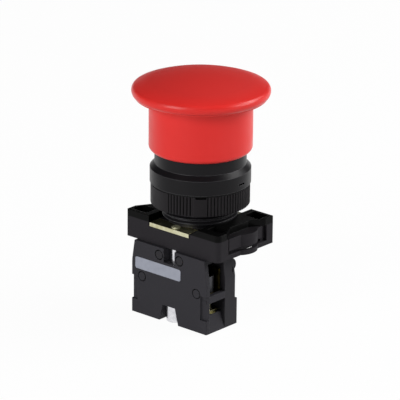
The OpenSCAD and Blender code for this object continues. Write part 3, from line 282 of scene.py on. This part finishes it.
finishes = {
    # The head: red ABS with a soft gloss on its rim and skirt, and a matt dome whose slightly darker red is
    # painted shade.
    "head_red": moulded_plastic(
        "red_moulded_abs", "#D82B27", "#E04E4A", rough=0.34, grain=0.2, relief=0.01, specular=0.26,
        upper={"start": 28.6, "full": 30.2, "colour": "#CB2824", "rough": 0.6}),
    # The bezel: satin black nylon with pale lines along its edges as painted highlight, and a pry slot in its side
    # blackened with painted shade.
    "bezel_black": moulded_plastic(
        "black_moulded_nylon", "#121113", "#88888C", rough=0.33, grain=0.18, relief=0.015, specular=0.13,
        slot={"mouth": bezel_radius - 0.08, "deep": bezel_radius - 0.12, "height": 1.7, "reach": 0.32,
              "colour": "#030303"}),
    # The nut: duller nylon, its rib edges lightened as painted highlight and the grooves between its ribs
    # blackened with painted shade.
    "nut_black": moulded_plastic(
        "black_ribbed_nylon", "#1B191B", "#4A484B", rough=0.48, grain=0.18, relief=0.03, specular=0.1,
        slot={"mouth": nut_high[Y] - 0.1, "deep": nut_high[Y] - 0.3, "height": nut_middle,
              "reach": nut_high[Z] - nut_middle - 0.04, "colour": "#040404"}),
    # The base: coarse matt nylon on the walls, smoother and blacker on what stands above the nut plates.
    "base_black": moulded_plastic(
        "black_base_nylon", "#272528", "#3B393C", rough=0.55, grain=0.22, relief=0.05, specular=0.06,
        upper={"start": plate_top - 0.04, "full": plate_top + 0.04, "colour": "#070707", "rough": 0.3}),
    # The two halves of the block: even, fine-textured black that turns grey in the light.
    "block_black": moulded_plastic(
        "black_block_nylon", "#302F33", "#434246", rough=0.52, grain=0.2, relief=0.04, specular=0.08),
    "cover_black": moulded_plastic(
        "black_cover_nylon", "#2D2C2F", "#403F42", rough=0.52, grain=0.2, relief=0.04, specular=0.08),
    # Stem and plunger: waxy acetal, off-white and white.
    "stem_plastic": moulded_plastic(
        "natural_acetal", "#CFCBBD", "#E0DDD2", rough=0.4, grain=0.25, relief=0.01, specular=0.4),
    "plunger_white": moulded_plastic(
        "white_acetal", "#E2DED2", "#EFECE4", rough=0.4, grain=0.25, relief=0.01, specular=0.4),
    # The washer: pressed fibre, painted near black as the shade in the thin gap between bezel and nut.
    "washer_grey": moulded_plastic(
        "fibre_washer_painted_shade", "#0E0E0E", "#1C1C1C", rough=0.6, grain=0.14, relief=0.02, specular=0.15),
    "seal_rubber": pressed_rubber("seal_nitrile_rubber", "#19191B", "#2C2C2E"),
    "gasket_rubber": pressed_rubber("gasket_nitrile_rubber", "#1D1D1F", "#3A3A3B"),
    # Drawn spring wire: plain grey steel.
    "spring_steel": plated_metal("drawn_spring_steel", "#B9B8B4", "#8F8E8B", rough=0.3),
    # The nut plates: rolled steel with yellow zinc, pale straw with a golden cast.
    "plate_zinc": plated_metal("yellow_zinc_plate", "#CFCCAE", "#B5AF86", rough=0.3, lines=(14, 1, 1)),
    # The fixing screw: bright zinc, nearly white, and dull where its tip shows through the plate.
    "screw_steel": plated_metal(
        "bright_zinc_screw", "#E2E2E5", "#C9C9CE", rough=0.24, lines=(1, 1, 14),
        tip={"start": plate_top - 0.26, "full": plate_top - 0.24, "colour": "#D8D5B4", "rough": 0.6}),
    # The label: silver foil with a flat, soft sheen.
    "label_silver": plated_metal(
        "silver_label_foil", "#9A9DA8", "#9396A1", rough=0.5, lines=(1, 1, 3), scuff=0.06),
    # The contact strips: tarnished brass, darkened further as painted shade for the dark of the windows, with
    # black steel bushes.
    "contact_brass": plated_metal(
        "tarnished_brass_painted_shade", "#544B28", "#2C2816", rough=0.4, lines=(10, 1, 1),
        bushes={"radius": 2.2, "above": -29.4, "colour": "#48484B"}),
    "tip_silver": plated_metal("silver_contact_rivet", "#DEDCD8", "#BDB9B2", rough=0.28),
    # The terminals: yellow zinc, darkened as painted shade for the dark of the windows.
    "terminal_steel": plated_metal(
        "yellow_zinc_terminal", "#928E70", "#6A6644", rough=0.32, lines=(12, 1, 1)),
}
for name, piece in frame["nodes"].items():
    piece.data.materials.clear()
    piece.data.materials.append(finishes[slot_of[name]])


def stand_in(mesh, name, node):
    """Puts a finished mesh in the place of a CAD node and lets it ride on that node's body."""
    made = bpy.data.objects.new(name, mesh)
    scene.collection.objects.link(made)
    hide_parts(node)
    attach(made, body_of[node])
    return made


# Coil springs as round drawn wire: a spiral swept with a circle.
def coil_tree():
    tree = bpy.data.node_groups.new("coil_spring", "GeometryNodeTree")
    tree.interface.new_socket("Geometry", in_out="INPUT", socket_type="NodeSocketGeometry")
    for label in ("Coil Radius", "Wire Radius", "Coils", "Height"):
        tree.interface.new_socket(label, in_out="INPUT", socket_type="NodeSocketFloat")
    tree.interface.new_socket("Foot", in_out="INPUT", socket_type="NodeSocketVector")
    tree.interface.new_socket("Material", in_out="INPUT", socket_type="NodeSocketMaterial")
    tree.interface.new_socket("Geometry", in_out="OUTPUT", socket_type="NodeSocketGeometry")
    given = add(tree, "NodeGroupInput")
    path = add(tree, "GeometryNodeCurveSpiral", {"Resolution": 40},
               {"Rotations": given.outputs["Coils"], "Start Radius": given.outputs["Coil Radius"],
                "End Radius": given.outputs["Coil Radius"], "Height": given.outputs["Height"]})
    wire = add(tree, "GeometryNodeCurvePrimitiveCircle", {"Resolution": 14},
               {"Radius": given.outputs["Wire Radius"]})
    swept = add(tree, "GeometryNodeCurveToMesh", {"Fill Caps": True},
                {"Curve": path.outputs[0], "Profile Curve": wire.outputs[0]})
    placed = add(tree, "GeometryNodeTransform", None,
                 {"Geometry": swept.outputs[0], "Translation": given.outputs["Foot"]})
    smooth = add(tree, "GeometryNodeSetShadeSmooth", None, {0: placed.outputs[0]})
    real = add(tree, "GeometryNodeRealizeInstances", None, {0: smooth.outputs[0]})
    painted = add(tree, "GeometryNodeSetMaterial", None,
                  {"Geometry": real.outputs[0], "Material": given.outputs["Material"]})
    add(tree, "NodeGroupOutput", None, {0: painted.outputs[0]})
    return tree


def grown(tree, name, values):
    """The plain mesh that a geometry tree makes from these named inputs."""
    holder = bpy.data.objects.new(name + "_maker", bpy.data.meshes.new(name + "_maker"))
    scene.collection.objects.link(holder)
    growth = holder.modifiers.new("growth", "NODES")
    growth.node_group = tree
    for socket in tree.interface.items_tree:
        if socket.in_out == "INPUT" and socket.name in values:
            growth[socket.identifier] = values[socket.name]
    holder.update_tag()
    graph = bpy.context.evaluated_depsgraph_get()
    mesh = bpy.data.meshes.new_from_object(holder.evaluated_get(graph))
    mesh.name = name
    bpy.data.objects.remove(holder)
    return mesh


# Each spring's piece, the thickness of its wire and its number of coils. It stands a little off both its
# seats, from the fixed end given by the joint that presses it.
SPRINGS = {"return_spring": ("return_coil", 1.1, 6.5), "contact_spring": ("contact_coil", 0.35, 4.5)}
SEAT_GAP = 0.05

coil = coil_tree()
for joint in frame["joints"]:
    for pressed in joint.get("deforming_nodes", []):
        node = pressed["node"]
        name, wire, coils = SPRINGS[node]
        low, high = corners(node)
        x, y, middle = [(a + b) / 2 for a, b in zip(low, high)]
        foot = pressed["fixed_end_z_m"] / MM
        length = 2 * (middle - foot)
        mesh = grown(coil, name, {
            "Coil Radius": (high[X] - low[X] - wire) / 2 * MM,
            "Wire Radius": wire / 2 * MM,
            "Coils": coils,
            "Height": (length - wire - 2 * SEAT_GAP) * MM,
            "Foot": (x * MM, y * MM, (foot + wire / 2 + SEAT_GAP) * MM),
            "Material": finishes["spring_steel"],
        })
        spring = stand_in(mesh, name, node)
        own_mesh(spring)


# How far apart points may lie and still be one: in the solids' loose triangles, and where new faces meet old.
DOUBLED = 0.001
TOUCHING = 0.002
SLIVER = 0.0001
HARD_EDGE = math.radians(32)


def opened(node, name):
    """A copy of a CAD node's mesh to edit, its doubled points joined and its stored normals dropped."""
    source = frame["nodes"][node]
    mesh = source.data.copy()
    mesh.name = name
    mesh.transform(source.matrix_world)
    mesh.attributes.remove(mesh.attributes["custom_normal"])
    work = bmesh.new()
    work.from_mesh(mesh)
    bmesh.ops.remove_doubles(work, verts=work.verts, dist=DOUBLED * MM)
    return mesh, work


def closed(mesh, work, node):
    """Puts an edited copy back in its node's place, smooth but for its hard edges."""
    bmesh.ops.remove_doubles(work, verts=work.verts, dist=TOUCHING * MM)
    bmesh.ops.dissolve_degenerate(work, dist=SLIVER * MM, edges=work.edges)
    for face in work.faces:
        face.smooth = True
    work.to_mesh(mesh)
    work.free()
    mesh.set_sharp_from_angle(angle=HARD_EDGE)
    return stand_in(mesh, mesh.name, node)


# How finely a thread is drawn, how much of a pitch it takes to run out, and its flat crest and slanting flank
# as shares of half a pitch. A shank's wall is found by its radius, within a slack, and by standing upright.
RINGS_PER_TURN = 10
RUN_OUT = 0.6
CREST = 0.15
FLANK = 0.65
SLACK = 0.01
UPRIGHT = 0.2


def bared(work, x, y, radius, foot, top):
    """Takes a round shank's wall off an open copy, and gives the angles of the points along its foot."""
    wall, turns = [], set()
    for face in work.faces:
        spots = [(v.co.x / MM - x, v.co.y / MM - y, v.co.z / MM) for v in face.verts]
        fits = all(abs(math.hypot(a, b) - radius) < SLACK and foot - SLACK < c < top + SLACK
                   for a, b, c in spots)
        if fits and abs(face.normal.z) < UPRIGHT:
            wall.append(face)
            turns.update(round(math.atan2(b, a), 5) for a, b, c in spots if abs(c - foot) < SLACK)
    bmesh.ops.delete(work, geom=wall, context="FACES")
    return sorted(turns)


def threaded(node, name, middles, radius, shank, cut, pitch, depth):
    """A copy of a CAD node whose plain shanks have a thread cut into them, its crests on the CAD's radius."""
    mesh, work = opened(node, name)
    start, end = cut
    steps = round((end - start) / pitch * RINGS_PER_TURN)
    heights = sorted({*shank, *(start + (end - start) * i / steps for i in range(steps + 1))})
    for x, y in middles:
        turns = bared(work, x, y, radius, *shank)
        below = None
        for z in heights:
            fade = max(0.0, min(1.0, (z - start) / (RUN_OUT * pitch), (end - z) / (RUN_OUT * pitch)))
            ring = []
            for turn in turns:
                phase = (z / pitch - turn / (2 * math.pi)) % 1
                dip = min(1.0, max(0.0, (abs(phase - 0.5) * 2 - CREST) / FLANK))
                r = radius - depth * dip * fade
                spot = (x + r * math.cos(turn), y + r * math.sin(turn), z)
                ring.append(work.verts.new([side * MM for side in spot]))
            if below:
                for quad in zip(below, below[1:] + below[:1], ring[1:] + ring[:1], ring):
                    work.faces.new(quad)
            below = ring
    return closed(mesh, work, node)


# The head's dome without the crowd of points at its apex.
closed(*opened("mushroom_cap", "mushroom_head"), "mushroom_cap")

# The operator's shank, threaded all along for the clamp nut.
SHANK = (-10.0, 0.0)
threaded("operator_body", "operator_thread", [(0, 0)], radius=11.0, shank=SHANK, cut=SHANK,
         pitch=nut_pitch, depth=0.75)

# The 3 mm screws: their shanks stand on their heads, and the thread ends at the bevel of the tip.
SCREW = {"radius": 1.45, "pitch": 0.5, "depth": 0.28}
TIP_BEVEL = 0.3
FIXING_HEAD_TOP = -35.45
FIXING_THREAD_FOOT = -17.4
TERMINAL_HEAD_TOP = -35.5
TERMINAL_THREAD_FOOT = -35.0
fixing_end = fixing_high[Z] - TIP_BEVEL
threaded("fixing_screw", "fixing_thread", [(0, fixing_y)], shank=(FIXING_HEAD_TOP, fixing_end),
         cut=(FIXING_THREAD_FOOT, fixing_end), **SCREW)
terminal_end = terminal_high[Z] - TIP_BEVEL
threaded("terminal_screws", "terminal_threads", [(terminal_x, terminal_y), (-terminal_x, terminal_y)],
         shank=(TERMINAL_HEAD_TOP, terminal_end), cut=(TERMINAL_THREAD_FOOT, terminal_end), **SCREW)

# Floor just under the block's foot, in metres.
FLOOR_GAP = 0.0001
FLOOR_REACH = 6.0
floor_z = cad_box[0].z - FLOOR_GAP
floor_corners = [(x * FLOOR_REACH, y * FLOOR_REACH, floor_z) for x, y in ((-1, -1), (1, -1), (1, 1), (-1, 1))]
floor_mesh = bpy.data.meshes.new("floor")
floor_mesh.from_pydata(floor_corners, [], [(0, 1, 2, 3)])
floor = bpy.data.objects.new("floor", floor_mesh)
scene.collection.objects.link(floor)


def looked_at(tree):
    """1 where a camera, glossy or transmission ray arrives, which is where the white background shows."""
    path = add(tree, "ShaderNodeLightPath")
    gloss = add(tree, "ShaderNodeMath", {"operation": "ADD", "use_clamp": True},
                {0: path.outputs["Is Camera Ray"], 1: path.outputs["Is Glossy Ray"]})
    return add(tree, "ShaderNodeMath", {"operation": "ADD", "use_clamp": True},
               {0: gloss.outputs[0], 1: path.outputs["Is Transmission Ray"]}).outputs[0]


# White paper: white to the eye and in reflections, but for the share that takes the object's shadow.
PLAIN_WHITE = 0.94
paper, tree = empty_material("white_paper")
look = add(tree, "ShaderNodeMath", {"operation": "MULTIPLY", 1: PLAIN_WHITE}, {0: looked_at(tree)})
matt = add(tree, "ShaderNodeBsdfDiffuse", {"Color": linear("#C4C4C4")})
white = add(tree, "ShaderNodeEmission", {"Color": linear("#FFFFFF"), "Strength": 1.02})
both = add(tree, "ShaderNodeMixShader", None, {0: look.outputs[0], 1: matt.outputs[0], 2: white.outputs[0]})
add(tree, "ShaderNodeOutputMaterial", None, {"Surface": both.outputs[0]})
floor_mesh.materials.append(paper)

# World: a white sweep up to a little over the horizon and a dim room above it; a soft grey as a light.
world = bpy.data.worlds.new("studio")
scene.world = world
world.use_nodes = True
tree = world.node_tree
tree.nodes.clear()
way = add(tree, "ShaderNodeTexCoord")
axes = add(tree, "ShaderNodeSeparateXYZ", None, {0: way.outputs["Generated"]})
sweep = add(tree, "ShaderNodeMapRange", {"From Min": 0.02, "From Max": 0.2, "To Min": 1.0, "To Max": 0.04},
            {"Value": axes.outputs["Z"]})
lit = add(tree, "ShaderNodeBackground", {"Color": linear("#8A8A8C"), "Strength": 0.5})
white = add(tree, "ShaderNodeBackground", {"Color": linear("#FFFFFF")}, {"Strength": sweep.outputs[0]})
both = add(tree, "ShaderNodeMixShader", None, {0: looked_at(tree), 1: lit.outputs[0], 2: white.outputs[0]})
add(tree, "ShaderNodeOutputWorld", None, {"Surface": both.outputs[0]})


def aimed(data, name, target, around, up, away):
    """A lamp or camera that faces its target, from angles round from -Y towards +X and above the horizon."""
    made = bpy.data.objects.new(name, data)
    scene.collection.objects.link(made)
    a, e = math.radians(around), math.radians(up)
    out = Vector((math.sin(a) * math.cos(e), -math.cos(a) * math.cos(e), math.sin(e)))
    made.location = target + out * away
    made.rotation_mode = "QUATERNION"
    made.rotation_quaternion = (-out).to_track_quat("-Z", "Y")
    return made


# Softboxes round the object, in metres and watts.
LAMP_AWAY = 0.9
for name, around, up, size, power in (
        ("left_softbox", -3, 20, (0.45, 0.6), 6.6),
        ("right_softbox", 122, 26, (0.6, 0.42), 5.4),
        ("rim_softbox", 150, 40, (0.46, 0.4), 3.8)):
    lamp = bpy.data.lights.new(name, "AREA")
    lamp.shape = "RECTANGLE"
    lamp.size, lamp.size_y = size
    lamp.energy = power
    aimed(lamp, name, Vector(), around, up, LAMP_AWAY)

# Camera at the photograph's angle and scale, a metre away, with the photograph's slight lean.
PHOTO_WIDTH = 400
PIXELS_PER_MM = 3.462
PHOTO_MIDDLE = Vector((-0.04, -0.04, -6.27)) * MM
CAMERA_AWAY = 1.0
LEAN = math.radians(0.5)
lens = bpy.data.cameras.new("photo_camera")
lens.sensor_width = 36
lens.lens = lens.sensor_width * CAMERA_AWAY / (PHOTO_WIDTH / PIXELS_PER_MM * MM)
lens.clip_start = 0.05
camera = aimed(lens, "photo_camera", PHOTO_MIDDLE, around=41.2, up=19.75, away=CAMERA_AWAY)
camera.rotation_quaternion = camera.rotation_quaternion @ Quaternion((0, 0, 1), LEAN)
scene.camera = camera
